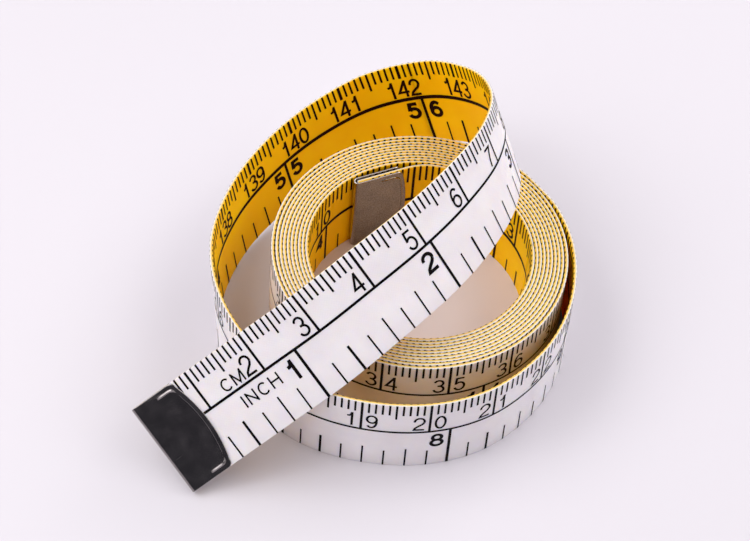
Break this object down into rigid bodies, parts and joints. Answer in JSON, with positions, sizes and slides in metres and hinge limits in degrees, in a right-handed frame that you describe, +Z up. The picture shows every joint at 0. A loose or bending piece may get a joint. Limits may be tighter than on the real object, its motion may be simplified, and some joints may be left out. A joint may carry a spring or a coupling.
{
  "type": "cloth tape measure",
  "caption": "Flexible sewing tape measure lying in a flat coil on its edge, with a loose outer turn whose free end arches over the coil and a folded metal tip on each end.",
  "frame": {"origin": "on the surface the tape stands on, under the middle of its box", "axes": "+Z up along the coil's axis, -Y towards the side where the free end comes down, at the front left"},
  "size_m": [0.0638, 0.0696, 0.034],
  "materials": {
    "tape": "matte coated cloth, white outside and yellow inside, printed in black",
    "tip": "nickel plated sheet, polished"
  },
  "bodies": {
    "coil": {"tape_coil": "tape", "tape_loop": "tape"},
    "free_end": {"tape_free_end": "tape", "outer_tip": "tip"},
    "inner_end": {"tape_inner_end": "tape", "inner_tip": "tip"}
  },
  "joints": [
    {"name": "free_end_lift", "type": "hinge", "parent": "coil", "child": "free_end", "pos_m": [0.01968, 0.01607, 0.02559], "axis": [-0.3798, 0.2743, 0.8835], "range_deg": [0, 50]},
    {"name": "inner_end_swing", "type": "hinge", "parent": "coil", "child": "inner_end", "pos_m": [0.01759, 0.01731, 0.0075], "axis": [0, 0, 1], "range_deg": [0, 30]}
  ]
}
